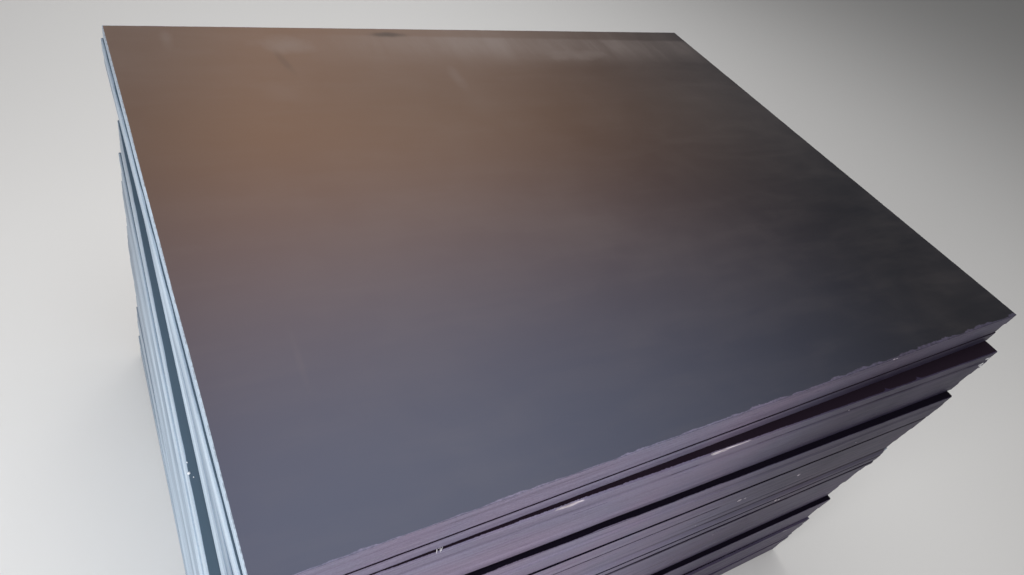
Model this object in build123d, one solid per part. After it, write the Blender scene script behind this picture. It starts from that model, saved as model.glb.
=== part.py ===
from build123d import *
import os

# A stack of film-faced plywood sheets with painted edges, lying flat on the floor.
# Every sheet is its own solid. X runs along the long side, Y from the front to the back, Z up.
# The origin is the middle of the stack's underside. All sizes are in millimetres.

# One sheet
sheet_length = 1200.0
sheet_width = 900.0
sheet_thickness = 21.0
corner_radius = 1.5      # the four upright corners, rounded by handling
arris_ease = 0.9         # the bevel that the edge paint leaves along each arris

# The lifts that the stack was laid in, from the floor up: the number of sheets in each
lift_sheet_counts = (3, 4, 4, 3, 3, 2, 1, 2, 3, 2, 1, 3, 2, 1, 1, 1)

# Where each lift lies, in the same order: how far its middle sits to the right and to the back
# of the lowest lift's middle, and its turn in degrees, anticlockwise from above
lift_places = (
    (0.0, 0.0, 0.85),
    (0.0, 4.5, 0.55),
    (0.7, 13.0, 0.2),
    (-0.9, 20.3, 0.25),
    (-1.9, 20.3, 0.1),
    (-0.9, 19.3, -0.05),
    (-1.4, 20.8, -0.1),
    (-2.0, 22.8, -0.05),
    (0.0, 22.5, -0.1),
    (2.0, 23.0, -0.25),
    (2.5, 23.9, -0.35),
    (12.0, 32.3, -0.02),
    (12.4, 31.7, 0.0),
    (5.1, 43.6, 1.15),
    (5.1, 44.0, 1.15),
    (8.1, 44.0, 1.15),
)

# Inside a lift the sheets are a hair out of line, in this order over and over
hand_laid_right = (0.0, 0.6, -0.4, 0.3, -0.7)
hand_laid_back = (0.0, 0.5, -0.4, -0.7, 0.3, -0.2, 0.6)

# Core voids: short open slots in the front edge, where a cross ply stops short.
# Each has its sheet, counted from the top, its place along the front edge from the
# left-hand end, and its length.
void_height = 1.6
void_depth = 4.0
core_voids = (
    (5, 358.0, 45.0),
    (5, 505.0, 35.0),
    (9, 505.0, 60.0),
    (12, 640.0, 80.0),
    (14, 560.0, 50.0),
    (20, 800.0, 70.0),
)

# Splintered lips: shallow chips out of the upper front arris.
# Each has its sheet, counted from the top, its place from the left-hand end,
# its length, how far it runs down the edge and how far into the face.
splintered_lips = (
    (4, 320.0, 40.0, 5.0, 3.0),
    (4, 549.0, 70.0, 5.0, 3.0),
)

sheet_count = sum(lift_sheet_counts)


def plain_sheet():
    """One sheet, its middle on the Z axis and its underside at height 0."""
    blank = Box(sheet_length, sheet_width, sheet_thickness, align=(Align.CENTER, Align.CENTER, Align.MIN))
    blank = fillet(blank.edges().filter_by(Axis.Z), corner_radius)
    flat_faces = blank.faces().filter_by(Axis.Z)
    return chamfer(flat_faces.edges(), arris_ease)


def core_void(place, length):
    """The slot that a core void leaves in the front edge, at the sheet's mid-height."""
    slot = Box(length, 2 * void_depth, void_height)
    slot = fillet(slot.edges().filter_by(Axis.Z), void_depth * 0.9)
    return Pos(place + length / 2 - sheet_length / 2, -sheet_width / 2, sheet_thickness / 2) * slot


def splintered_lip(place, length, drop, inset):
    """The long flat wedge that a splinter leaves in the upper front arris."""
    section = Polygon((0, 0), (inset, 0), (0, -drop), align=None)
    along = Plane(origin=(0, -sheet_width / 2, sheet_thickness), x_dir=(0, 1, 0), z_dir=(1, 0, 0))
    middle = place + length / 2 - sheet_length / 2
    tip = 0.15
    stations = ((-length / 2, tip), (-length / 8, 1.0), (length / 6, 0.8), (length / 2, tip))
    sections = [along.offset(middle + where) * scale(section, size) for where, size in stations]
    return loft(sections, ruled=True)


def sheet_from_top(number):
    """The sheet with its own voids and chips, number 1 being the top one."""
    sheet = plain_sheet()
    for owner, place, length in core_voids:
        if owner == number:
            sheet -= core_void(place, length)
    for owner, place, length, drop, inset in splintered_lips:
        if owner == number:
            sheet -= splintered_lip(place, length, drop, inset)
    return sheet


def laid_sheets():
    """Every sheet where it lies, from the floor up, before the stack is centred."""
    sheets = []
    for count, (right, back, turn) in zip(lift_sheet_counts, lift_places):
        for _ in range(count):
            laid = len(sheets)
            number = sheet_count - laid
            jog_right = hand_laid_right[laid % len(hand_laid_right)]
            jog_back = hand_laid_back[laid % len(hand_laid_back)]
            place = Pos(right + jog_right, back + jog_back, laid * sheet_thickness) * Rot(0, 0, turn)
            sheets.append((number, place * sheet_from_top(number)))
    return sheets


sheets = laid_sheets()
box = Compound([sheet for _, sheet in sheets]).bounding_box()
centring = Pos(-box.center().X, -box.center().Y, -box.min.Z)

os.makedirs("parts", exist_ok=True)
for number, sheet in sheets:
    export_step(centring * sheet, f"parts/sheet_{number:02d}.step")
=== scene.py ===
import math

import bpy
import numpy as np
from mathutils import Matrix, Vector


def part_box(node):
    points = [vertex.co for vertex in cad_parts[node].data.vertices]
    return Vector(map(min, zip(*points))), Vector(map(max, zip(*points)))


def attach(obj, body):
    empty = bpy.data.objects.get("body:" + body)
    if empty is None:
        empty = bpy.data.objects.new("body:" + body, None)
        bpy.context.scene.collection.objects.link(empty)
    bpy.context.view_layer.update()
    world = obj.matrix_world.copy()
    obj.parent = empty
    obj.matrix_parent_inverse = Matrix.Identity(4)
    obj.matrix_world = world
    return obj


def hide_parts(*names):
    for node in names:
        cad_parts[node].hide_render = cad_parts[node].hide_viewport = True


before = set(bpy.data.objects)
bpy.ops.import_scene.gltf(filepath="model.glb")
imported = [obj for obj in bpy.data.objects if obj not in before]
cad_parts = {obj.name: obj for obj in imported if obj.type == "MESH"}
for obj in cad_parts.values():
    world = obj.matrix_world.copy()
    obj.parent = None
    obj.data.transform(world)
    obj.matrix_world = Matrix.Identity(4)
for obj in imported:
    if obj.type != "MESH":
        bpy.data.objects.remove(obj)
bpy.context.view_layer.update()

# Places along the front edge are measured from its left-hand end, and along the left edge from
# its front end. Heights on a sheet are measured from its underside. Sheet 1 is the top one.
# A joint has the number of the sheet above it. Lengths are in metres where nothing else is said.

mm = 0.001
tiny = 1e-6
sideApart = 2.0  # on the random lines, each side starts this far from the last
frontSide, backSide, leftSide = 0, 2, 3  # the sides of a sheet, anticlockwise from the front

seeds = {
    # these are added to the number of a sheet or joint
    "upperLip": 40, "strip": 60, "leftStrip": 80, "lowerLip": 90, "chanceDull": 300, "coarseLip": 500,
    "shadeAndTone": 700, "jointShade": 800,
    # these are multiplied by the number of a sheet, and the number of a row is added
    "waveRow": 17, "plyRow": 31, "crackRow": 53,
    # these are used as they are
    "splinters": 6, "topArris": 7, "topSwell": (11, 12), "topSide": 13, "flakes": 77,
}

stack = {
    "sheets": 36,
    "length": 1.2,
    "width": 0.9,
    "thickness": 0.021,
    "cornerRadius": 0.0015,
    "cornerSteps": 4,
    "topPitch": 0.004,  # spacing of the mesh along the edges of the top sheet
    "middlePitch": 0.006,  # of the sheets whose chips and voids show best
    "plainPitch": 0.012,  # of all the others
    "finePitch": 0.0012,  # where a splinter is gone
    "middleSheets": 9,
    "faceInsets": (0.012, 0.005, 0.0022),  # of the mesh rings on the faces
    "faceGap": 0.1 * mm,  # the least between two rings there
    "filmRings": 4,  # the mesh rings on the film of the top face
    "edgeRings": (5, 4),  # where the painted edge begins, counted from above and from below
    "rowHeights": (0.8, 3.4, 4.0, 4.6, 7.0, 9.6, 9.8, 11.2, 11.4, 14.0, 16.4, 17.0, 17.6, 20.2),  # mm
    "rowGap": 0.00005,  # the least between two rows
    "rowsInWave": 3,
    "voidRows": (6, 7),
    "plyRelief": 0.00007,
    "plySway": (1.0, 0.05),  # a sway: how much the value changes, and over what distance
    "waveRelief": 0.00012,
    "waveStep": 0.05,
    "leftQuiet": 0.35,  # the left side is smoother by this factor
    "arrisEase": 0.0006,  # of the outermost arrises
    "arrisSway": (0.45, 0.011),
    "sharpAngle": 50,
}

joints = {
    # under each sheet: how wide the groove stands open at the front and at the left, in mm
    "open": {
        1: (0.2, 0.6), 2: (0.7, 0.5), 3: (0.9, 0.5), 4: (0.8, 0.1), 5: (0.12, 0.5), 8: (1.0, 0.9),
        9: (0.22, 0.1), 11: (1.0, 0.3), 13: (2.4, 0.2), 15: (1.0, 0.1), 16: (1.4, 0.2), 17: (0.9, 0.3),
        18: (2.6, 0.3), 20: (0.35, 0.2), 22: (0.5, 0.2), 25: (1.0, 0.4), 27: (0.35, 0.2), 31: (0.4, 0.2),
    },
    # how many times wider than that, by place along the front
    "wider": {8: ((0.30, 3.2), (0.60, 2.2), (0.90, 1.0)), 11: ((0.5, 0.9), (0.85, 1.8))},
    # painted shade along a joint on the front: places and shares
    "jointShade": {
        2: ((0.3, 0.0), (0.8, 0.5)), 4: ((0.6, 0.3), (1.2, 0.5)), 8: ((0.45, 1.1), (0.60, 0.5), (0.8, 0.0)),
        9: ((0.0, 0.2), (1.2, 0.3)), 11: ((0.5, 0.1), (0.6, 0.35), (0.72, 0.9), (0.85, 1.2)),
        12: ((0.3, 0.2), (1.2, 0.3)), 13: ((0.0, 0.9), (0.4, 1.4), (0.70, 1.4), (0.74, 0.35)),
        15: ((0.6, 0.25), (0.78, 0.85)), 16: ((0.5, 0.2), (0.8, 0.85), (0.95, 1.2)),
        17: ((0.5, 0.3), (1.2, 0.3)), 18: ((0.5, 0.8), (0.7, 1.4), (1.2, 1.3)),
        19: ((0.7, 0.1), (1.0, 0.6)), 22: ((0.5, 0.5), (1.2, 0.5)), 24: ((0.5, 0.25), (1.2, 0.25)),
        29: ((0.5, 0.3), (1.2, 0.4)), 31: ((0.5, 0.3), (1.2, 0.3)), 33: ((0.5, 0.3), (1.2, 0.3)),
    },
    "jointShadeSway": (0.25, 0.05),
    "wideJointShade": 0.6,  # from this share on, it also darkens the next few millimetres
    "bridged": 0.03,  # all the others, which the paint closed, in mm
    "hiddenMore": 0.1,  # how much wider than the left the right and the back are, in mm
    "lipSways": ((0.3, 0.028), (0.35, 0.17)),  # fine and coarse
    "steep": 1.2,  # how far a groove reaches over the film that shows, against its depth
    "flat": 3.0,  # and over the rest
    "bend": (0.4, 0.3),  # the middle of its rounding, as shares of its reach and depth
    # the sheet below these stands out and shows a strip of its film
    "filmShows": (1, 3, 8, 25),
    # steps that stay; elsewhere the paint evens the step out
    "keptSteps": (1, 2, 3, 5, 8, 11, 17, 22, 25, 29, 33),
    "evenSlope": 4.5,
    "evenLeast": 0.005,
    "evenMost": 0.0034,  # a wider step than this isn't evened out
    # joints that only open along part of the front
    "parts": {
        4: ((0.492, 0.542), (0.645, 1.165)), 13: ((0.0, 0.712),), 15: ((0.70, 0.97),), 16: ((0.69, 1.2),),
    },
}

wear = {
    # open core voids in the front edge: sheet, place, length
    "voids": ((5, 0.358, 0.045), (5, 0.505, 0.035), (9, 0.505, 0.060), (12, 0.640, 0.080),
              (14, 0.560, 0.050), (20, 0.800, 0.070)),
    # short cracks and dents in the front edge: sheet, place, length, row of the mesh, depth
    "cracks": (
        (2, 0.176, 0.018, 11, 0.0016), (5, 0.214, 0.028, 7, 0.0020), (5, 0.260, 0.009, 7, 0.0018),
        (8, 0.420, 0.012, 11, 0.0016), (6, 0.735, 0.050, 2, 0.0014), (7, 0.300, 0.022, 2, 0.0014),
        (10, 0.610, 0.060, 11, 0.0018), (12, 0.400, 0.050, 2, 0.0018), (15, 0.650, 0.070, 11, 0.0018),
        (16, 0.480, 0.050, 2, 0.0018), (19, 0.560, 0.090, 11, 0.0020), (21, 0.620, 0.060, 2, 0.0018),
        (23, 0.700, 0.110, 11, 0.0020), (24, 0.520, 0.050, 2, 0.0018), (27, 0.640, 0.080, 11, 0.0020),
    ),
    "crackTaper": 3.0,  # a crack is full deep from a sixth of its length on
    # painted shade darkens cracks by their depth, and fills the voids
    "darkFrom": 0.0012,  # and quite dark at this depth
    # shallow cracks by chance, in these rows of the mesh, where a random line rises past a value
    "chanceCracks": {"rows": (2, 11), "depth": 0.0012, "step": 0.04, "gain": 2.6, "past": 1.9},
    "voidInset": 0.0038,
    # splinters gone from the upper front arris: sheet, place, length, drop, inset, where it is deepest
    "splinters": ((4, 0.320, 0.040, 0.0066, 0.0028, 0.45), (4, 0.549, 0.070, 0.0062, 0.0024, 0.12)),
    "splinterTip": 0.15,  # its size at both ends
    "splinterSway": (0.2, 0.008),
    "bareGain": 6.0,  # how soon a pressed-in point shows bare wood
}

lip = {
    # the paint that runs over a sheet's upper arris onto its film: on the front of the top sheet
    "topLeast": 0.0004,
    "topMost": ((0.35, 0.0022), (1.1, 0.0062)),  # by place
    "topSwell": (0.45, (0.4, 0.05), (0.5, 0.011)),  # its middle, and two sways about it
    "topShare": 0.2,  # the least share of the most
    # on the other sides of the top sheet
    "topSide": 0.0013,
    "topSideSway": (0.25, 0.08),
    # on a strip of film that shows
    "strip": (0.0006, 0.0004),  # least and more
    "stripStep": 0.02,
    "moreUnder": {3: ((0.1, 0.0), (0.35, 0.0018), (0.8, 0.0008))},  # by joint, and place along the front
    "bumps": ((4, 0.905, 0.004), (4, 0.983, 0.004)),  # sheet, place, reach
    "bumpWidth": 0.004,
    "leftStrip": {2: 0.0024},  # on the left side, by sheet
    "leftStripElse": 0.0013,  # on the left side of all the others
    "leftSway": (0.3, 0.03),
    # at joints that stand open, at those on the left side, and at closed ones
    "open": 0.0003,
    "openLeft": 0.0025,
    "closed": 0.0045,
}

# How much painted shade darkens the left side of each listed sheet, from 0 to 1; the others vary in tone by
# chance
leftShadeBySheet = {
    1: 0.0, 2: 0.1, 3: 0.5, 4: 0.8, 5: 0.7, 6: 0.5, 7: 0.05, 8: 0.0, 9: 0.3, 10: 0.1, 11: 0.0, 12: 0.15,
    13: 0.1, 14: 0.2, 15: 0.8, 16: 0.6, 17: 0.1, 18: 0.0, 20: 0.3, 21: 0.8, 22: 0.6,
}
dullByChance = (0.0, 0.6)
shadeAndToneSway = (0.25, 0.12)


def smooth(part):
    # eases a share in and out
    return part * part * (3.0 - 2.0 * part)


def wander(seed, places, step):
    # a smooth random line, from -1 to 1, read at the given places
    values = np.random.default_rng(seed).uniform(-1.0, 1.0, int(places.max() / step) + 3)
    low = np.floor(places / step).astype(int)
    part = smooth(places / step - low)
    return values[low] * (1.0 - part) + values[low + 1] * part


def sway(seed, places, swing):
    # a factor about 1 that changes along a line
    amount, step = swing
    return 1.0 + amount * wander(seed, places, step)


def alongEdge(run, stops):
    # a value that is given at a few places along an edge
    return np.interp(run, *zip(*stops))


def zeroToOne(values):
    return np.clip(values, 0.0, 1.0)


def sheetPlace(number):
    # where a sheet's underside has its middle, and its turn
    name = f"sheet_{number:02d}"
    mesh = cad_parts[name].data
    points = np.empty(len(mesh.vertices) * 3)
    mesh.vertices.foreach_get("co", points)
    points = points.reshape(-1, 3)
    frontLeft = points[np.argmin(points[:, 0] + points[:, 1])]
    frontRight = points[np.argmax(points[:, 0] - points[:, 1])]
    turn = math.atan2(frontRight[1] - frontLeft[1], frontRight[0] - frontLeft[0])
    low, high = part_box(name)
    return Vector(((low.x + high.x) / 2, (low.y + high.y) / 2, low.z)), turn


sheetPlaces = {number: sheetPlace(number) for number in range(1, stack["sheets"] + 1)}


def outlineColumns(pitch, fineStretches):
    # the mesh columns round a sheet: place on the inner rectangle, facing and side
    columns = []
    sides = (((0, 0), (1, 0), (0, -1), stack["length"]), ((1, 0), (1, 1), (1, 0), stack["width"]),
             ((1, 1), (0, 1), (0, 1), stack["length"]), ((0, 1), (0, 0), (-1, 0), stack["width"]))
    for side, (start, end, facing, extent) in enumerate(sides):
        stops = np.linspace(0.0, 1.0, round(extent / pitch) + 1)
        for place, reach in fineStretches if side == frontSide else ():
            fine = np.arange(place, place + reach, stack["finePitch"]) / extent
            stops = stops[(stops < fine[0]) | (stops > fine[-1])]
            stops = np.sort(np.concatenate([stops, fine]))
        for part in stops:
            columns.append((start[0] + (end[0] - start[0]) * part, start[1] + (end[1] - start[1]) * part,
                            facing[0], facing[1], side))
        base = math.atan2(facing[1], facing[0])
        for k in range(1, stack["cornerSteps"]):  # round the corner
            angle = base + k * math.pi / (2 * stack["cornerSteps"])
            columns.append((end[0], end[1], math.cos(angle), math.sin(angle), side))
    return np.array(columns)


def grooveAt(joint, side, run, seed):
    # how far one lip of a joint's groove is eased, in metres
    bridged = joints["bridged"]
    front, left = joints["open"].get(joint, (bridged, bridged))
    if joint in joints["wider"]:
        front = front * alongEdge(run, joints["wider"][joint])
    opened = np.where(side == frontSide, front, np.where(side == leftSide, left, left + joints["hiddenMore"]))
    if joint in joints["parts"]:
        shown = np.zeros(len(run), bool)
        for start, end in joints["parts"][joint]:
            shown |= (run > start) & (run < end)
        opened = np.where((side == frontSide) & ~shown, bridged, opened)
    fine, coarse = joints["lipSways"]
    return mm * opened * (sway(seed, run, fine) + sway(seed + seeds["coarseLip"], run, coarse) - 1.0)


def standsOut(number, other, side, x, y):
    # how far a sheet's edge stands out from a neighbour's, where the paint evens that out
    joint = min(number, other)
    if joint < 1 or joint >= stack["sheets"] or joint in joints["keptSteps"]:
        return np.zeros(len(x))
    middle, turn = sheetPlaces[number]
    otherMiddle, otherTurn = sheetPlaces[other]
    worldX = middle.x + x * math.cos(turn) - y * math.sin(turn) - otherMiddle.x
    worldY = middle.y + x * math.sin(turn) + y * math.cos(turn) - otherMiddle.y
    alongX = worldX * math.cos(otherTurn) + worldY * math.sin(otherTurn)
    alongY = worldY * math.cos(otherTurn) - worldX * math.sin(otherTurn)
    step = np.choose(side.astype(int), (
        -alongY - stack["width"] / 2, alongX - stack["length"] / 2,
        alongY - stack["width"] / 2, -alongX - stack["length"] / 2))
    return np.where(step < joints["evenMost"], np.maximum(step, 0.0), 0.0)


def evened(step, away):
    # the part of a step that is taken back at a distance from the joint
    reach = np.maximum(joints["evenLeast"], step * joints["evenSlope"])
    return step * smooth(zeroToOne(1.0 - away / reach))


def lipReach(number, side, run, lap):
    # how far the edge paint runs over the upper arris
    if number == 1:
        swell, *swings = lip["topSwell"]
        for seed, (amount, step) in zip(seeds["topSwell"], swings):
            swell = swell + amount * wander(seed, lap, step)
        share = lip["topShare"] + (1.0 - lip["topShare"]) * zeroToOne(swell)
        front = lip["topLeast"] + (alongEdge(run, lip["topMost"]) - lip["topLeast"]) * share
        other = lip["topSide"] * sway(seeds["topSide"], lap, lip["topSideSway"])
        return np.where(side == frontSide, front, other)
    joint = number - 1
    if joint in joints["filmShows"]:
        least, more = lip["strip"]
        reach = least + more * zeroToOne(wander(seeds["strip"] + number, lap, lip["stripStep"]))
        if joint in lip["moreUnder"]:
            reach = reach + alongEdge(run, lip["moreUnder"][joint]) * (side == frontSide)
        for owner, place, bump in lip["bumps"]:
            if owner == number:
                swell = bump * np.exp(-((run - place) / lip["bumpWidth"]) ** 2)
                reach = reach + np.where(side == frontSide, swell, 0.0)
        atLeft = lip["leftStrip"].get(number, lip["leftStripElse"])
        atLeft = atLeft * sway(seeds["leftStrip"] + number, lap, lip["leftSway"])
        return np.where(side == leftSide, atLeft, reach)
    if joint in joints["open"]:
        return np.where(side == leftSide, lip["openLeft"], lip["open"])
    return np.full(len(run), lip["closed"])


def shadeAlongJoint(joint, side, run):
    # how dark a joint's two lips are with painted shade
    if joint not in joints["jointShade"]:
        return np.zeros(len(run))
    shown = alongEdge(run, joints["jointShade"][joint]) * sway(seeds["jointShade"] + joint, run, joints["jointShadeSway"])
    return np.where(side == frontSide, shown, 0.0)


def crackDepth(number, row, side, run, lap):
    # how far cracks push a row of a sheet's edge in
    depth = np.zeros(len(run))
    chance = wear["chanceCracks"]
    if row in chance["rows"]:
        line = wander(number * seeds["crackRow"] + row, lap, chance["step"])
        depth += chance["depth"] * zeroToOne(line * chance["gain"] - chance["past"])
    for owner, place, extent, crackRow, deep in wear["cracks"]:
        if owner == number and crackRow == row:
            taper = zeroToOne(1.0 - np.abs((run - place) / extent * 2.0 - 1.0))
            depth += np.where(side == frontSide, deep * np.minimum(1.0, taper * wear["crackTaper"]), 0.0)
    return depth


def inVoid(number, row, side, run):
    # where a row of a sheet's edge is inside an open core void
    inside = np.zeros(len(run), bool)
    for owner, place, extent in wear["voids"]:
        if owner == number and row in stack["voidRows"]:
            inside |= (side == frontSide) & (run > place) & (run < place + extent)
    return inside


def cutSplinters(number, side, run, rings):
    # presses the rings in where a splinter is gone, and marks the bare wood
    thick, tip = stack["thickness"], wear["splinterTip"]
    for owner, place, extent, drop, reach, deepest in wear["splinters"]:
        if owner != number:
            continue
        where = (run - place) / extent
        size = np.interp(where, (0.0, deepest, 1.0), (tip, 1.0, tip), left=0.0, right=0.0)
        size = size * sway(seeds["splinters"], run, wear["splinterSway"])
        chipped = (side == frontSide) & (where > 0) & (where < 1)
        for k, (inset, height, rim, raw, recessShade) in enumerate(rings):
            across = inset / np.maximum(reach * size, tiny)
            down = (thick - height) / np.maximum(drop * size, tiny)
            push = np.where(chipped & (across + down < 1.0), (1.0 - (across + down)) / 2.0, 0.0)
            bare = zeroToOne(push * wear["bareGain"]) * (k >= stack["filmRings"])
            rings[k] = (inset + push * reach * size, height - push * drop * size, rim,
                        np.maximum(raw, bare), recessShade)


def sheetRings(number, side, run, lap, x, y):
    # from the middle of the top face, down the edge, to the middle of the underside:
    # each ring's inset, height, distance from the arris, bare wood and painted shade
    thick, insets = stack["thickness"], stack["faceInsets"]
    full, none = np.full(len(run), 1.0), np.zeros(len(run))
    outer, inner, nearest = ((full * inset, full * thick, full * inset, none, none) for inset in insets)
    upper = grooveAt(number - 1, side, run, seeds["upperLip"] + number) if number > 1 else (
        stack["arrisEase"] * sway(seeds["topArris"], lap, stack["arrisSway"]))
    lower = grooveAt(number, side, run, seeds["lowerLip"] + number) if number < stack["sheets"] else (
        full * stack["arrisEase"])
    upperStep = standsOut(number, number - 1, side, x, y)
    lowerStep = standsOut(number, number + 1, side, x, y)
    showsFilm = number == 1 or number - 1 in joints["filmShows"]
    deep = upper * joints["steep" if showsFilm else "flat"]
    lowerDeep = lower * joints["flat"]
    bendAcross, bendDown = joints["bend"]
    upperShade, lowerShade = shadeAlongJoint(number - 1, side, run), shadeAlongJoint(number, side, run)
    rings = [
        outer,
        inner,
        (np.maximum(insets[2], deep + upperStep + stack["faceGap"]), *nearest[1:]),
        (deep + upperStep, full * thick, deep, none, none),
        (deep * bendAcross + upperStep, thick - upper * bendDown, deep * bendAcross, none, none),
        (upperStep, thick - upper, none, none, np.minimum(upperShade, 1.0)),
    ]
    rows = len(stack["rowHeights"])
    for row in reversed(range(rows)):
        height = np.clip(stack["rowHeights"][row] * mm, lower + stack["rowGap"] * (row + 1),
                         thick - upper - stack["rowGap"] * (rows - row))
        quiet = np.where(side == leftSide, stack["leftQuiet"], 1.0)
        ply = stack["plyRelief"] * (1.0 if row % 2 else -1.0)
        ply = ply * sway(number * seeds["plyRow"] + row, lap, stack["plySway"])
        waveSeed = number * seeds["waveRow"] + row // stack["rowsInWave"]
        wave = stack["waveRelief"] * wander(waveSeed, lap, stack["waveStep"])
        inset = quiet * np.maximum(0.0, ply + wave)
        depth = crackDepth(number, row, side, run, lap) * quiet
        inset = np.maximum(inset + depth, evened(upperStep, thick - height) + evened(lowerStep, height))
        inside = inVoid(number, row, side, run)
        # painted shade: darker with a crack's depth, and full inside a void
        dark = np.where(inside, 1.0, zeroToOne(depth / wear["darkFrom"]))
        # painted shade along the joints darkens the rows next to them
        if row in (0, 1, rows - 2, rows - 1):
            jointShade = lowerShade if row < 2 else upperShade
            past = 0.0 if row in (0, rows - 1) else joints["wideJointShade"]
            dark = np.maximum(dark, zeroToOne(jointShade - past))
        rings.append((np.where(inside, wear["voidInset"], inset), height, none, none, dark))
    rings += [
        (lowerStep, lower, none, none, np.minimum(lowerShade, 1.0)),
        (lowerDeep * bendAcross + lowerStep, lower * bendDown, lowerDeep * bendAcross, none, none),
        (lowerDeep + lowerStep, none, lowerDeep, none, none),
        (full * insets[0], none, full * insets[0], none, none),
    ]
    cutSplinters(number, side, run, rings)
    return rings


def addObject(label, data):
    added = bpy.data.objects.new(label, data)
    bpy.context.scene.collection.objects.link(added)
    return added


def buildSheet(number):
    # one sheet's mesh, its surface values and its place in the frame
    middle, turn = sheetPlaces[number]
    length, width, radius = stack["length"], stack["width"], stack["cornerRadius"]
    pitch = stack["topPitch"] if number == 1 else (
        stack["middlePitch"] if number <= stack["middleSheets"] else stack["plainPitch"])
    stretches = [(place, reach) for owner, place, reach, _, _, _ in wear["splinters"] if owner == number]
    fx, fy, dx, dy, side = outlineColumns(pitch, stretches).T
    run = np.where((side == frontSide) | (side == backSide), fx * length, fy * width)
    lap = side * sideApart + run
    rings = sheetRings(number, side, run, lap, (fx - 0.5) * length, (fy - 0.5) * width)
    count = len(run)
    points = np.empty((len(rings), count, 3))
    for k, (inset, height, _, _, _) in enumerate(rings):
        across = inset + radius
        x = across + fx * (length - 2 * across) + radius * dx - length / 2
        y = across + fy * (width - 2 * across) + radius * dy - width / 2
        points[k, :, 0] = middle.x + x * math.cos(turn) - y * math.sin(turn)
        points[k, :, 1] = middle.y + x * math.sin(turn) + y * math.cos(turn)
        points[k, :, 2] = middle.z + height
    here = np.arange(count)
    after = np.roll(here, -1)
    levels = np.arange(len(rings) - 1)[:, None] * count
    quads = np.stack([levels + here, levels + count + here, levels + count + after, levels + after], axis=2)
    last = (len(rings) - 1) * count
    faces = [tuple(range(count))] + quads.reshape(-1, 4).tolist()
    faces.append(tuple(last + c for c in reversed(range(count))))
    painted = np.zeros(len(faces), np.int32)
    above, below = stack["edgeRings"]
    painted[1 + above * count:1 + (len(rings) - below) * count] = 1
    mesh = bpy.data.meshes.new(f"board_{number:02d}")
    mesh.from_pydata(points.reshape(-1, 3).tolist(), [], faces)
    mesh.materials.append(topFilm if number == 1 else laidFilm)
    mesh.materials.append(edgePaint)
    mesh.polygons.foreach_set("material_index", painted)
    mesh.polygons.foreach_set("use_smooth", np.ones(len(faces), bool))
    mesh.set_sharp_from_angle(angle=math.radians(stack["sharpAngle"]))
    chance = np.random.default_rng(seeds["chanceDull"] + number).uniform(*dullByChance)
    amount, step = shadeAndToneSway
    # painted shade on the left side of the listed sheets, and random tone on the others
    shadeAndTone = zeroToOne(leftShadeBySheet.get(number, chance) + amount * wander(seeds["shadeAndTone"] + number, lap, step))
    shares = {label: np.concatenate([ring[k] for ring in rings])
              for k, label in ((2, "rim"), (3, "raw"), (4, "recessShade"))}
    shares["lipReach"] = np.tile(lipReach(number, side, run, lap), len(rings))
    shares["shadeAndTone"] = np.tile(shadeAndTone, len(rings))
    for label, values in shares.items():
        mesh.attributes.new(label, "FLOAT", "POINT").data.foreach_set("value", values.astype(np.float32))
    board = addObject(mesh.name, mesh)
    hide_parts(f"sheet_{number:02d}")
    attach(board, "root")
    return board


class Wiring:
    # short ways to add and join nodes in one tree

    def __init__(self, tree):
        self.tree = tree

    def feed(self, socket, value):
        if isinstance(value, bpy.types.NodeSocket):
            self.tree.links.new(value, socket)
        else:
            socket.default_value = value

    def add(self, kind, values=None, **settings):
        # values go to the inputs, by name or number, and settings to the node itself
        node = self.tree.nodes.new("ShaderNode" + kind)
        for key, value in settings.items():
            setattr(node, key, value)
        for key, value in (values or {}).items():
            self.feed(node.inputs[key], value)
        return node.outputs

    def math(self, operation, first, second, clamp=False):
        return self.add("Math", {0: first, 1: second}, operation=operation, use_clamp=clamp)[0]

    def plus(self, first, second):
        return self.math("ADD", first, second)

    def minus(self, first, second):
        return self.math("SUBTRACT", first, second)

    def times(self, first, second):
        return self.math("MULTIPLY", first, second)

    def most(self, first, second):
        return self.math("MAXIMUM", first, second)

    def ramp(self, value, low, high, toLow=0.0, toHigh=1.0):
        values = {"Value": value, "From Min": low, "From Max": high, "To Min": toLow, "To Max": toHigh}
        return self.add("MapRange", values, interpolation_type="SMOOTHSTEP")["Result"]

    def mix(self, share, first, second):
        return self.add("Mix", {0: share, 6: first, 7: second}, data_type="RGBA")[2]

    def noise(self, vector, scale, detail, roughness, distortion=0.0):
        values = {"Vector": vector, "Scale": scale, "Detail": detail, "Roughness": roughness}
        return self.add("TexNoise", {**values, "Distortion": distortion})["Fac"]

    def vector(self, operation, first, second):
        return self.add("VectorMath", {0: first, 1: second}, operation=operation)[0]

    def stretch(self, vector, scale):
        return self.vector("MULTIPLY", vector, scale)

    def split(self, vector):
        return self.add("SeparateXYZ", {0: vector})

    def join(self, x, y, z):
        return self.add("CombineXYZ", {0: x, 1: y, 2: z})[0]

    def attribute(self, label):
        return self.add("Attribute", attribute_name=label)["Fac"]

    def use(self, group, **values):
        return self.add("Group", values, node_tree=group)[0]


patterns = {
    # noises: scale, detail and roughness
    "fibres": (1.0, 4.0, 0.6),
    "lip": (260.0, 4.0, 0.65),
    "mark": (24.0, 4.0, 0.55),
    "cloud": (5.0, 0.6, 0.4),  # detail, roughness and distortion; its scale is given
    "middle": 0.5,  # of any noise
    "widest": 0.52,  # half the range of the fibres without contrast
    "lipSoft": (-0.00012, 0.00018),
    "markSoft": (1.0, 0.1),
    "yShare": 0.83,  # y counts less than x, so that no side repeats another
}


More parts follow.
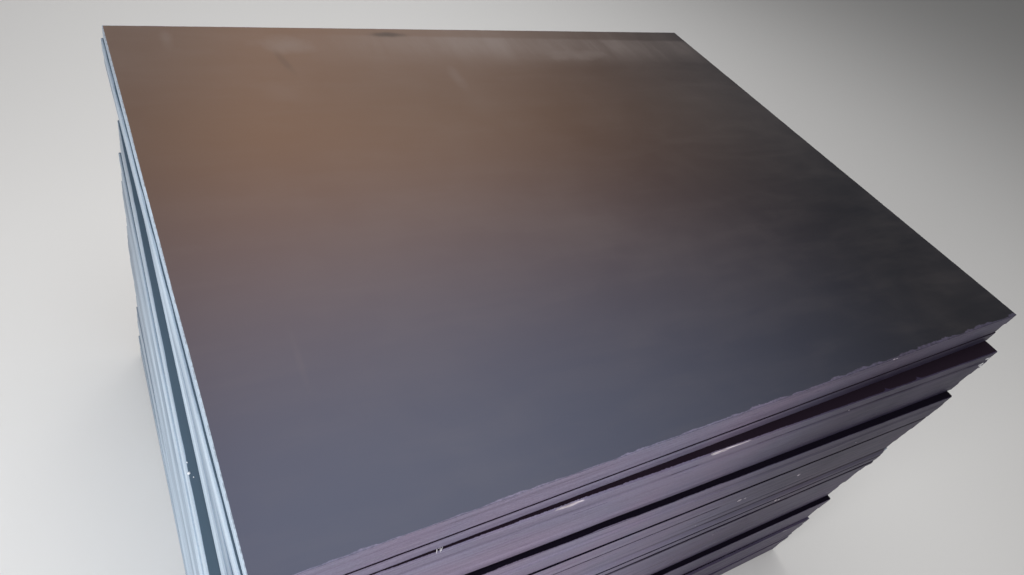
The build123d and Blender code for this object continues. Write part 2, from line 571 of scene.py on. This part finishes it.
def newGroup(label, inputs, output, kind="Float"):
    # a new node group: its wiring, the sockets that it is given and those that it gives
    group = bpy.data.node_groups.new(label, "ShaderNodeTree")
    for title, value in inputs.items():
        inputKind = "Float" if isinstance(value, float) else "Vector"
        socket = group.interface.new_socket(title, in_out="INPUT", socket_type="NodeSocket" + inputKind)
        if value is not None:
            socket.default_value = value
    group.interface.new_socket(output, in_out="OUTPUT", socket_type="NodeSocket" + kind)
    return Wiring(group), group.nodes.new("NodeGroupInput").outputs, group.nodes.new("NodeGroupOutput").inputs


def makeEdgeRun():
    # turns a place on an edge into along and height, so that one pattern runs round all the sides
    w, given, leave = newGroup("edgeRun", {"Place": None}, "Run", "Vector")
    x, y, z = w.split(given["Place"])
    w.feed(leave["Run"], w.join(w.plus(x, w.times(y, patterns["yShare"])), 0.0, z))
    return w.tree


def makeStreaks():
    # lengthwise streaks, as of a brush or of veneer fibres
    w, given, leave = newGroup(
        "lengthwiseStreaks", {"Run": None, "Length": 6.0, "Fineness": 500.0, "Contrast": 0.5}, "Mask")
    scales = w.join(given["Length"], 1.0, given["Fineness"])
    fibres = w.noise(w.stretch(given["Run"], scales), *patterns["fibres"])
    middle = patterns["middle"]
    half = w.minus(patterns["widest"], w.times(given["Contrast"], 0.5))
    w.feed(leave["Mask"], w.ramp(fibres, w.minus(middle, half), w.plus(middle, half)))
    return w.tree


def makePaintLip():
    # where paint lies over the arris, with a ragged boundary
    w, given, leave = newGroup("paintLip", {"Run": None, "Rim": 0.0, "Reach": 0.002, "Ragged": 0.5}, "Mask")
    uneven = w.minus(w.noise(given["Run"], *patterns["lip"]), patterns["middle"])
    swing = w.times(uneven, w.times(given["Ragged"], 2.0))
    reach = w.times(given["Reach"], w.plus(1.0, swing))
    w.feed(leave["Mask"], w.ramp(w.minus(reach, given["Rim"]), *patterns["lipSoft"]))
    return w.tree


def makeSoftCloud():
    # soft uneven cover, as of dust or haze
    w, given, leave = newGroup("softCloud", {"Place": None, "Scale": 3.0, "Low": 0.4, "High": 0.7}, "Mask")
    cover = w.noise(given["Place"], given["Scale"], *patterns["cloud"])
    w.feed(leave["Mask"], w.ramp(cover, given["Low"], given["High"]))
    return w.tree


def makeFaceMark():
    # one soft-edged mark at a place on a face; Reach is its half length along x and y
    w, given, leave = newGroup(
        "faceMark",
        {"Place": None, "Centre": (0, 0, 0), "Reach": (0.1, 0.1, 1), "Slant": 0.0, "Ragged": 0.4}, "Mask")
    apart = w.vector("SUBTRACT", given["Place"], given["Centre"])
    turned = w.add("VectorRotate", {"Vector": apart, "Angle": given["Slant"]}, rotation_type="Z_AXIS")[0]
    size = w.add("VectorMath", {0: w.vector("DIVIDE", turned, given["Reach"])}, operation="LENGTH")["Value"]
    uneven = w.minus(w.noise(given["Place"], *patterns["mark"]), patterns["middle"])
    away = w.plus(size, w.times(uneven, given["Ragged"]))
    w.feed(leave["Mask"], w.ramp(away, *patterns["markSoft"]))
    return w.tree


edgeRun, streaks, paintLip = makeEdgeRun(), makeStreaks(), makePaintLip()
softCloud, faceMark = makeSoftCloud(), makeFaceMark()

paint = {
    "front": (0.52, 0.415, 0.59, 1),
    "frontCool": (0.42, 0.415, 0.59, 1),
    "frontDark": (0.205, 0.165, 0.270, 1),
    # near black: painted shade on the front, and grime in blotches on the back
    "shadeAndGrime": (0.027, 0.020, 0.052, 1),
    "back": (0.43, 0.41, 0.45, 1),
    "backDark": (0.19, 0.18, 0.21, 1),
    # the left side: a paler, bluer copy of the same paint, which is painted light from the left
    "left": (0.60, 0.70, 0.80, 1),
    "leftDark": (0.30, 0.38, 0.48, 1),
    # the darker left colour, for painted shade and random tone
    "leftShadeAndTone": (0.205, 0.265, 0.345, 1),
    # painted shade towards the back of the left side
    "leftBack": (0.20, 0.205, 0.23, 1),
    "rawWood": (0.93, 0.86, 0.93, 1),
    "rawWoodDark": (0.50, 0.42, 0.48, 1),
    # painted shade in cracks, voids and along joints
    "recessShade": (0.030, 0.020, 0.034, 1),
    "flake": (0.62, 0.57, 0.64, 1),
    "flakeDark": (0.36, 0.31, 0.36, 1),
    "flakePale": (0.88, 0.88, 0.90, 1),
    "roughness": 0.55,
    "sheen": 0.25,  # specular level
    "bump": (0.4, 0.0004),  # strength and distance
    # brush streaks, wood grain and clouds
    "fineStreaks": {"Length": 7.0, "Fineness": 620.0, "Contrast": 0.50},
    "broadStreaks": {"Length": 2.2, "Fineness": 130.0, "Contrast": 0.4},
    "woodGrain": {"Length": 40.0, "Fineness": 520.0, "Contrast": 0.75},
    "coolClouds": {"Scale": 3.5, "Low": 0.35, "High": 0.65},
    "blotches": {"Scale": 7.0, "Low": 0.25, "High": 0.75},
    "smudges": {"Scale": 26.0, "Low": 0.45, "High": 0.8},
    "smudgeStretch": (1.0, 0.35, 5.0),
    "grit": (420.0, 3.0, 0.65),  # scale, detail and roughness
    # how far each one darkens the paint, or covers it with painted shade and grime
    "fineShare": 0.40,
    "broadShare": 0.45,
    "gritShare": 0.22,
    "smudgeShare": 0.35,
    "shadeGrimeShare": (0.86, 0.12),  # least, and more in the blotches
    "backGrime": 0.25,
    # and its height against that of the broad streaks
    "fineHeight": 0.6,
    "gritHeight": 0.8,
    # ramps: from and to of what is read, and then of what comes out
    "gritRange": (0.3, 0.7),
    "shadeAlong": (-0.24, 0.34),  # grows from left to right
    "shadeAtTop": (0.735, 0.705, 0.78, 1.0),  # less on the top sheet
    "shadeBelow": (0.30, 0.54, 0.86, 1.0),  # and on the lower ones
    "leftTurn": (-0.575, -0.590),  # the left-hand end of the front, by x
    "facesUp": (0.4, 0.8),
    "facesLeft": (-0.35, -0.75),
    "facesAway": (0.3, 0.7),  # to the back or the right
    "leftShade": (-0.05, 0.50, 0.0, 0.40),  # towards the back
    "lipRagged": (0.7, 0.08),  # in front, and at the left
}
film = {
    "dark": (0.005, 0.005, 0.009, 1),
    # painted sheen on the top film, in two colours
    "brownPaintedSheen": (0.145, 0.073, 0.039, 1),
    "greyPaintedSheen": (0.070, 0.078, 0.125, 1),
    # haze: partly dust, partly painted sheen
    "hazeAndSheen": (0.245, 0.205, 0.190, 1),
    "spot": (0.045, 0.024, 0.014, 1),
    "strip": (0.015, 0.008, 0.016, 1),
    # the same film, darker for the lower strips: painted shade
    "lowStrip": (0.004, 0.002, 0.008, 1),
    # slate blue: a painted reflection of the light from the left on the film strips there
    "leftStrip": (0.080, 0.118, 0.158, 1),
    "roughness": 0.42,
    "sheen": 0.26,  # specular level of the top face
    "stripRoughness": 0.8,
    "stripSheen": 0.10,
    "bump": (0.3, 0.0003),  # strength and distance
    # the painted sheen grows from right to left, is weaker at the far left, and is grey in front and brown
    # behind
    "sheenSlant": 0.25,
    "sheenAlong": (0.62, -0.44),
    "sheenEnd": (-0.70, -0.45, 0.62, 1.0),
    "sheenTurn": (-0.44, 0.20),
    # clouds and wiping marks, with their shares of haze
    "clouds": {"Scale": 4.5, "Low": 0.35, "High": 0.8},
    "cloudShare": 0.05,
    "wipes": {"Scale": 5.0, "Low": 0.4, "High": 0.75},
    "wipeStretch": (1.2, 6.0, 1.0),
    "wipeShare": 0.035,
    # the band of haze along the back edge, which is partly dust and partly painted sheen
    "bandLeft": (-0.50, 0.15),
    "bandRight": (0.68, 0.50),
    "bandFront": (0.32, 0.42),
    "bandBack": (0.447, 0.436, 0.4, 1.0),
    "bandStreaks": {"Scale": 15.0, "Low": 0.25, "High": 0.75},
    "bandStretch": (1.0, 0.22, 1.0),
    "bandShare": (0.20, 0.30),  # least, and more in the streaks
    # how well the paint covers the film along the rims, in front and at the left
    "rimCover": (0.50, 0.92),
    "laidRimCover": (0.75, 0.92),
    "rimPatches": (160.0, 4.0, 0.6),  # scale, detail and roughness
    "rimPatchRange": (0.35, 0.6, 0.55, 1.0),
    "smears": {"Scale": 9.0, "Low": 0.3, "High": 0.8},
    "smearRoughness": 0.05,
    "lowStripBelow": (0.62, 0.66),  # by height
    "leftStripFrom": (-0.560, -0.585),  # by x
    # marks on the top face: x, y, half length along x and y, slant, share
    # the pale marks are partly dust and partly painted sheen
    "sheenHazeMarks": (
        (-0.330, 0.405, 0.090, 0.040, 0.0, 0.30), (-0.190, 0.415, 0.120, 0.036, 0.0, 0.18),
        (0.060, 0.412, 0.210, 0.036, 0.0, 0.26), (0.236, 0.385, 0.170, 0.050, 0.0, 0.36),
        (0.429, 0.405, 0.100, 0.035, 0.0, 0.24), (-0.064, 0.300, 0.018, 0.070, 0.05, 0.12),
        (-0.520, 0.420, 0.014, 0.040, 0.05, 0.14), (-0.378, 0.261, 0.060, 0.040, 0.4, 0.07),
        (-0.491, -0.232, 0.006, 0.055, 0.03, 0.06), (-0.05, -0.10, 0.25, 0.10, 0.5, 0.05),
    ),
    "spotMarks": ((-0.136, 0.446, 0.055, 0.013, 0.0, 0.85), (-0.354, 0.351, 0.010, 0.050, -0.2, 0.25)),
    # wide soft areas, given in the same way: a painted sheen on the right, and a darker area in the middle
    # that shapes the painted sheen
    "paleSheenArea": ((0.460, 0.200, 0.440, 0.360, 0.0, 0.11),),
    "darkerArea": ((-0.150, 0.270, 0.340, 0.260, 0.0, 0.15),),
    "markHeight": 4.0,  # so far up that the height doesn't matter
    "markRagged": 0.9,
    "areaRagged": 0.12,
}


def newMaterial(label):
    material = bpy.data.materials.new(label)
    material.use_nodes = True
    return material, Wiring(material.node_tree), material.node_tree.nodes["Principled BSDF"]


def paintColour(w):
    # the edge paint's colour, the height of its streaks, and the places they were worked out from
    coordinates = w.add("TexCoord")
    place = coordinates["Object"]
    run = w.use(edgeRun, Place=place)
    fine = w.use(streaks, Run=run, **paint["fineStreaks"])
    broad = w.use(streaks, Run=run, **paint["broadStreaks"])
    grit = w.noise(place, *paint["grit"])
    x, y, z = w.split(place)
    facingX, facingY, facingZ = w.split(coordinates["Normal"])
    spread = w.plus(w.times(fine, paint["fineShare"]), w.times(broad, paint["broadShare"]))
    spread = w.plus(spread, w.ramp(grit, *paint["gritRange"], 0.0, paint["gritShare"]))
    # the front, with painted shade that grows to the right and is patchy with grime
    cool = w.use(softCloud, Place=run, **paint["coolClouds"])
    front = w.mix(spread, w.mix(cool, paint["front"], paint["frontCool"]), paint["frontDark"])
    # painted shade, darker to the right and less on the top sheet and the lowest ones
    byHeight = w.times(w.ramp(z, *paint["shadeAtTop"]), w.ramp(z, *paint["shadeBelow"]))
    frontShade = w.times(w.ramp(x, *paint["shadeAlong"]), byHeight)
    blotches = w.use(softCloud, Place=run, **paint["blotches"])
    least, more = paint["shadeGrimeShare"]
    front = w.mix(w.times(frontShade, w.plus(least, w.times(blotches, more))), front, paint["shadeAndGrime"])
    # the back and the right
    facesAway = w.most(w.ramp(facingY, *paint["facesAway"]), w.ramp(facingX, *paint["facesAway"]))
    back = w.mix(spread, paint["back"], paint["backDark"])
    back = w.mix(w.times(blotches, paint["backGrime"]), back, paint["shadeAndGrime"])
    front = w.mix(facesAway, front, back)
    # the left, which is paler and bluer with painted light from the left, and darkened sheet by sheet with
    # painted shade and random tone
    left = w.mix(spread, paint["left"], paint["leftDark"])
    smudges = w.use(softCloud, Place=w.stretch(place, paint["smudgeStretch"]), **paint["smudges"])
    # painted shade and random tone darken the left sheet by sheet, with smudges
    shadeAndTone = w.math("ADD", w.attribute("shadeAndTone"), w.times(smudges, paint["smudgeShare"]), clamp=True)
    left = w.mix(shadeAndTone, left, paint["leftShadeAndTone"])
    # painted shade towards the back
    left = w.mix(w.ramp(y, *paint["leftShade"]), left, paint["leftBack"])
    atLeft = w.times(w.ramp(facingZ, *paint["facesUp"]), w.ramp(x, *paint["leftTurn"]))
    leftness = w.most(w.ramp(facingX, *paint["facesLeft"]), atLeft)
    height = w.plus(w.times(fine, paint["fineHeight"]), w.plus(broad, w.times(grit, paint["gritHeight"])))
    return w.mix(leftness, front, left), height, run, place


def grained(w, run, light, dark):
    # bare wood in two colours
    return w.mix(w.use(streaks, Run=run, **paint["woodGrain"]), light, dark)


def dress(w, shader, colour, roughness, sheen, height, bumpSize):
    # what a material's shader is fed with
    strength, distance = bumpSize
    bump = w.add("Bump", {"Strength": strength, "Distance": distance, "Height": height})[0]
    for title, value in (("Base Color", colour), ("Roughness", roughness),
                         ("Specular IOR Level", sheen), ("Normal", bump)):
        w.feed(shader.inputs[title], value)


def makeEdgePaint():
    # the painted edges of all the sheets, with cracks, voids and bare wood
    material, w, shader = newMaterial("edgePaint")
    colour, height, run, _ = paintColour(w)
    # painted shade in cracks, voids and along joints
    colour = w.mix(w.attribute("recessShade"), colour, paint["recessShade"])
    wood = grained(w, run, paint["rawWood"], paint["rawWoodDark"])
    colour = w.mix(w.attribute("raw"), colour, wood)
    dress(w, shader, colour, paint["roughness"], paint["sheen"], height, paint["bump"])
    return material


def lipMask(w, run, x):
    # the paint's boundary is ragged in front and smooth at the left
    ragged = w.ramp(x, *paint["leftTurn"], *paint["lipRagged"])
    return w.use(paintLip, Run=run, Rim=w.attribute("rim"), Reach=w.attribute("lipReach"), Ragged=ragged)


def markShare(w, place, marks, ragged):
    # how strongly a list of marks covers the face
    total = None
    for x, y, reachX, reachY, slant, share in marks:
        reach = (reachX, reachY, film["markHeight"])
        mask = w.use(faceMark, Place=place, Centre=(x, y, 0), Reach=reach, Slant=slant, Ragged=ragged)
        part = w.times(mask, share)
        total = part if total is None else w.most(total, part)
    return total


def makeTopFilm():
    # the film of the top face, with its painted sheen, haze that is partly painted sheen, marks and the paint
    # along its rim
    material, w, shader = newMaterial("topFilm")
    colour, _, run, place = paintColour(w)
    x, y, _ = w.split(place)
    # painted sheen: grey in front, brown behind, growing from right to left
    slant = w.minus(x, w.times(y, film["sheenSlant"]))
    sheenShare = w.times(w.ramp(slant, *film["sheenAlong"]), w.ramp(slant, *film["sheenEnd"]))
    sheenColour = w.mix(w.ramp(y, *film["sheenTurn"]), film["greyPaintedSheen"], film["brownPaintedSheen"])
    base = w.mix(sheenShare, film["dark"], sheenColour)
    clouds = w.use(softCloud, Place=place, **film["clouds"])
    wipes = w.use(softCloud, Place=w.stretch(place, film["wipeStretch"]), **film["wipes"])
    faint = w.plus(w.times(clouds, film["cloudShare"]), w.times(wipes, film["wipeShare"]))
    base = w.mix(faint, base, film["hazeAndSheen"])
    # painted sheen over the right of the film, and a darker area in the middle
    base = w.mix(markShare(w, place, film["paleSheenArea"], film["areaRagged"]), base, film["hazeAndSheen"])
    base = w.mix(markShare(w, place, film["darkerArea"], film["areaRagged"]), base, film["spot"])
    along = w.times(w.ramp(x, *film["bandLeft"]), w.ramp(x, *film["bandRight"]))
    across = w.times(w.ramp(y, *film["bandFront"]), w.ramp(y, *film["bandBack"]))
    uneven = w.use(softCloud, Place=w.stretch(place, film["bandStretch"]), **film["bandStreaks"])
    least, more = film["bandShare"]
    band = w.times(w.times(across, along), w.plus(least, w.times(uneven, more)))
    # the back band and the pale marks: partly dust, partly painted sheen
    sheenHaze = w.most(band, markShare(w, place, film["sheenHazeMarks"], film["markRagged"]))
    base = w.mix(sheenHaze, base, film["hazeAndSheen"])
    base = w.mix(markShare(w, place, film["spotMarks"], film["markRagged"]), base, film["spot"])
    mask = lipMask(w, run, x)
    cover = w.times(mask, w.ramp(x, *paint["leftTurn"], *film["rimCover"]))
    patchy = w.ramp(w.noise(place, *film["rimPatches"]), *film["rimPatchRange"])
    base = w.mix(w.times(cover, patchy), base, colour)
    smears = w.use(softCloud, Place=place, **film["smears"])
    rough = w.plus(film["roughness"], w.times(smears, film["smearRoughness"]))
    rough = w.most(rough, w.times(mask, paint["roughness"]))
    dress(w, shader, base, rough, film["sheen"], mask, film["bump"])
    return material


def makeLaidFilm():
    # the film of the other sheets, which shows in shaded strips only
    material, w, shader = newMaterial("laidFilm")
    colour, _, run, place = paintColour(w)
    x, _, z = w.split(place)
    # painted shade: the strips lower down are darker
    strip = w.mix(w.ramp(z, *film["lowStripBelow"]), film["lowStrip"], film["strip"])
    # a painted reflection turns the strips on the left slate blue
    base = w.mix(w.ramp(x, *film["leftStripFrom"]), strip, film["leftStrip"])
    mask = lipMask(w, run, x)
    base = w.mix(w.times(mask, w.ramp(x, *paint["leftTurn"], *film["laidRimCover"])), base, colour)
    wood = grained(w, run, paint["rawWood"], paint["rawWoodDark"])
    base = w.mix(w.attribute("raw"), base, wood)
    dress(w, shader, base, film["stripRoughness"], film["stripSheen"], mask, film["bump"])
    return material


edgePaint, topFilm, laidFilm = makeEdgePaint(), makeTopFilm(), makeLaidFilm()
boards = [buildSheet(number) for number in range(1, stack["sheets"] + 1)]
print("sheets built:", len(boards), "faces:", sum(len(board.data.polygons) for board in boards))

flakes = {
    # paint flakes on the front: sheet, place, height, length, width, tilt out of upright
    "front": (
        (1, 0.866, 0.0202, 0.0080, 0.0016, 50), (1, 0.873, 0.0198, 0.0050, 0.0022, 40),
        (4, 0.833, 0.0010, 0.0040, 0.0024, 0), (3, 0.183, 0.0012, 0.0026, 0.0014, 0),
        (13, 0.889, 0.0030, 0.0110, 0.0070, 0), (14, 0.763, 0.0120, 0.0130, 0.0080, 0),
        (14, 0.776, 0.0110, 0.0060, 0.0050, 0), (18, 0.906, 0.0170, 0.0120, 0.0070, 15),
        (18, 0.918, 0.0120, 0.0070, 0.0050, 0), (30, 1.120, 0.0195, 0.0240, 0.0012, 20),
        (16, 0.700, 0.0100, 0.0040, 0.0016, 0), (21, 0.800, 0.0170, 0.0050, 0.0014, 0),
        (11, 0.982, 0.0150, 0.0030, 0.0018, 0),
    ),
    # paler crumbs of bare wood near the right-hand end of the front, given in the same way
    "frontPale": (
        (5, 1.184, 0.0150, 0.0200, 0.0080, 10), (5, 1.192, 0.0070, 0.0120, 0.0090, 0),
        (4, 1.189, 0.0060, 0.0160, 0.0070, 0),
    ),
    # pale crumbs on the left strip above sheet 9: distance from the front, in from the edge, size
    "left": ((9, 0.212, 0.0014, 0.0056), (9, 0.206, 0.0052, 0.0030), (9, 0.226, 0.0016, 0.0026)),
    # upright slivers across an open gap: sheet above, place, width, lean
    "slivers": ((3, 0.181, 0.0011, 0.0010), (3, 0.187, 0.0009, -0.0008), (3, 0.1845, 0.0007, 0.0016)),
    "corners": 7,
    "uneven": (0.4, 1.0),  # each corner's reach, by chance
    "sunk": 0.0001,
    "thickness": 0.0005,
    "raised": 0.62,  # the size of the raised outline
    "leftNarrow": 0.7,  # the width of the crumbs on the left strip, against their length
    "roughness": 0.8,
    # the slivers' section, its size at the upper end, middle and lower end, and how far it bows out
    "sliverSection": ((-1, 0), (1, 0), (0.3, 0.8)),
    "sliverSizes": (0.5, 1.0, 0.4),
    "sliverBow": 0.0006,
    "sliverThickness": 0.0005,
    "sliverEnds": (0.0015, 0.0012),  # above the upper sheet's underside, below the lower one's top
    "sliverPale": 0.7,
}


def onEdge(number, side, place, height):
    # a point on a sheet's edge face, with its directions along the edge and outwards
    middle, turn = sheetPlaces[number]
    length, width = stack["length"], stack["width"]
    x, y, outX, outY = (place - length / 2, -width / 2, 0, -1) if side == "front" else (
        -length / 2, place - width / 2, -1, 0)
    spin = Matrix.Rotation(turn, 3, "Z")
    outward = spin @ Vector((outX, outY, 0))
    return middle + spin @ Vector((x, y, height)), Vector((0, 0, 1)).cross(outward) * -1.0, outward


def addPlate(points, faces, centre, along, upward, outward, length, width, rng):
    # a domed chip: an uneven outline against the edge, and a smaller raised one
    first, corners = len(points), flakes["corners"]
    for share, lift in ((1.0, -flakes["sunk"]), (flakes["raised"], flakes["thickness"])):
        for k in range(corners):
            angle = 2 * math.pi * k / corners
            size = share * rng.uniform(*flakes["uneven"])
            points.append(centre + along * (math.cos(angle) * size * length / 2)
                          + upward * (math.sin(angle) * size * width / 2) + outward * lift)
    for k in range(corners):
        after = (k + 1) % corners
        faces.append((first + k, first + after, first + corners + after, first + corners + k))
    faces.append(tuple(first + corners + k for k in range(corners)))
    faces.append(tuple(first + k for k in reversed(range(corners))))


def addSliver(points, faces, number, place, width, lean):
    # a three-sided splinter from the sheet above an open gap to the one below
    above, below = flakes["sliverEnds"]
    high, along, outward = onEdge(number, "front", place, above)
    low, _, _ = onEdge(number + 1, "front", place + lean, stack["thickness"] - below)
    middle = high.lerp(low, 0.5) + outward * flakes["sliverBow"]
    first, corners = len(points), len(flakes["sliverSection"])
    for end, size in zip((high, middle, low), flakes["sliverSizes"]):
        for across, out in flakes["sliverSection"]:
            point = end + along * (across * size * width / 2)
            points.append(point + outward * (out * flakes["sliverThickness"]))
    for level in (first, first + corners):
        for k in range(corners):
            after = (k + 1) % corners
            faces.append((level + k, level + after, level + corners + after, level + corners + k))
    faces.append(tuple(first + k for k in reversed(range(corners))))
    faces.append(tuple(first + 2 * corners + k for k in range(corners)))


def makeFlakeWood():
    material, w, shader = newMaterial("flakeWood")
    run = w.use(edgeRun, Place=w.add("TexCoord")["Object"])
    wood = grained(w, run, paint["flake"], paint["flakeDark"])
    w.feed(shader.inputs["Base Color"], w.mix(w.attribute("pale"), wood, paint["flakePale"]))
    shader.inputs["Roughness"].default_value = flakes["roughness"]
    return material


def makeFlakes():
    # all the flakes, crumbs and slivers as one mesh
    rng = np.random.default_rng(seeds["flakes"])
    points, faces = [], []
    for number, place, height, length, width, tilt in flakes["front"] + flakes["frontPale"]:
        centre, along, outward = onEdge(number, "front", place, height)
        lean = math.radians(tilt)
        facing = outward * math.cos(lean) + Vector((0, 0, math.sin(lean)))
        upward = Vector((0, 0, math.cos(lean))) - outward * math.sin(lean)
        addPlate(points, faces, centre, along, upward, facing, length, width, rng)
    chipPoints = 2 * flakes["corners"]
    pale = [0.0] * (len(flakes["front"]) * chipPoints)
    pale += [1.0] * ((len(flakes["frontPale"]) + len(flakes["left"])) * chipPoints)
    for number, place, inward, size in flakes["left"]:
        edge, along, outward = onEdge(number, "left", place, stack["thickness"])
        addPlate(points, faces, edge - outward * inward, along, outward, Vector((0, 0, 1)),
                 size, size * flakes["leftNarrow"], rng)
    for sliver in flakes["slivers"]:
        addSliver(points, faces, *sliver)
    mesh = bpy.data.meshes.new("edgeFlakes")
    mesh.from_pydata([tuple(point) for point in points], [], faces)
    pale += [flakes["sliverPale"]] * (len(points) - len(pale))
    mesh.attributes.new("pale", "FLOAT", "POINT").data.foreach_set("value", pale)
    mesh.materials.append(makeFlakeWood())
    piece = addObject("edgeFlakes", mesh)
    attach(piece, "root")


makeFlakes()
print("flakes made:", sum(len(flakes[kind]) for kind in ("front", "frontPale", "left", "slivers")))

studio = {
    "floor": (0.74, 0.73, 0.72, 1),
    "floorRoughness": 0.85,
    "floorFrom": -14.0,  # in x and y
    "floorTo": 18.0,
    "world": (1, 1, 1, 1),
    "worldStrength": 0.16,
    # place, target, width, height, power, and spread in degrees, which keeps the near lamp off the floor
    "lamps": {
        "keyLamp": ((-2.5, -1.1, 1.5), (-0.4, -0.2, 0.5), 1.4, 1.4, 23.0, 100),
        "backLamp": ((0.4, 3.0, 2.7), (-0.3, 0.0, 0.75), 3.4, 2.6, 34.0, 180),
        "fillLamp": ((0.5, 0.3, 3.6), (0.2, 0.1, 0.5), 3.0, 3.0, 66.0, 180),
    },
}


def makeStudio():
    mesh = bpy.data.meshes.new("floor")
    low, high = studio["floorFrom"], studio["floorTo"]
    mesh.from_pydata([(low, low, 0), (high, low, 0), (high, high, 0), (low, high, 0)], [], [(0, 1, 2, 3)])
    material, _, shader = newMaterial("paleFloor")
    shader.inputs["Base Color"].default_value = studio["floor"]
    shader.inputs["Roughness"].default_value = studio["floorRoughness"]
    mesh.materials.append(material)
    floor = addObject("floor", mesh)
    world = bpy.data.worlds.new("studio")
    world.use_nodes = True
    background = world.node_tree.nodes["Background"]
    background.inputs["Color"].default_value = studio["world"]
    background.inputs["Strength"].default_value = studio["worldStrength"]
    bpy.context.scene.world = world


def softLamp(label, place, target, across, high, power, spread):
    lamp = bpy.data.lights.new(label, "AREA")
    lamp.shape, lamp.size, lamp.size_y, lamp.energy = "RECTANGLE", across, high, power
    lamp.spread = math.radians(spread)
    holder = addObject(label, lamp)
    holder.location = place
    holder.rotation_euler = (Vector(target) - Vector(place)).to_track_quat("-Z", "Y").to_euler()


view = {
    # how the photograph was taken, worked out from the edges of the top sheet; angles in radians
    "place": (-0.65089, -0.64779, 1.32951),
    "yaw": 0.66062,
    "tilt": 0.74656,
    "roll": 0.32634,
    "focalPixels": 687.774,
    "middlePixel": (460.14, 278.39),
    "imageSize": (1024, 575),
    "sensor": 36.0,  # mm
}


def makeCamera():
    yaw, tilt, roll = view["yaw"], view["tilt"], view["roll"]
    forward = Vector((math.sin(yaw) * math.cos(tilt), math.cos(yaw) * math.cos(tilt), -math.sin(tilt)))
    level = Vector((math.cos(yaw), -math.sin(yaw), 0))
    rise = level.cross(forward)
    right = level * math.cos(roll) + rise * math.sin(roll)
    up = rise * math.cos(roll) - level * math.sin(roll)
    camera = addObject("camera", bpy.data.cameras.new("camera"))
    turn = Matrix((right, up, -forward)).transposed().to_4x4()
    camera.matrix_world = Matrix.Translation(view["place"]) @ turn
    across, high = view["imageSize"]
    camera.data.sensor_width = view["sensor"]
    camera.data.lens = view["focalPixels"] / across * view["sensor"]
    camera.data.shift_x = (across / 2 - view["middlePixel"][0]) / across
    camera.data.shift_y = (view["middlePixel"][1] - high / 2) / across
    bpy.context.scene.camera = camera


makeStudio()
for label, settings in studio["lamps"].items():
    softLamp(label, *settings)
makeCamera()
bpy.context.scene.view_settings.view_transform = "Standard"
print("studio ready")
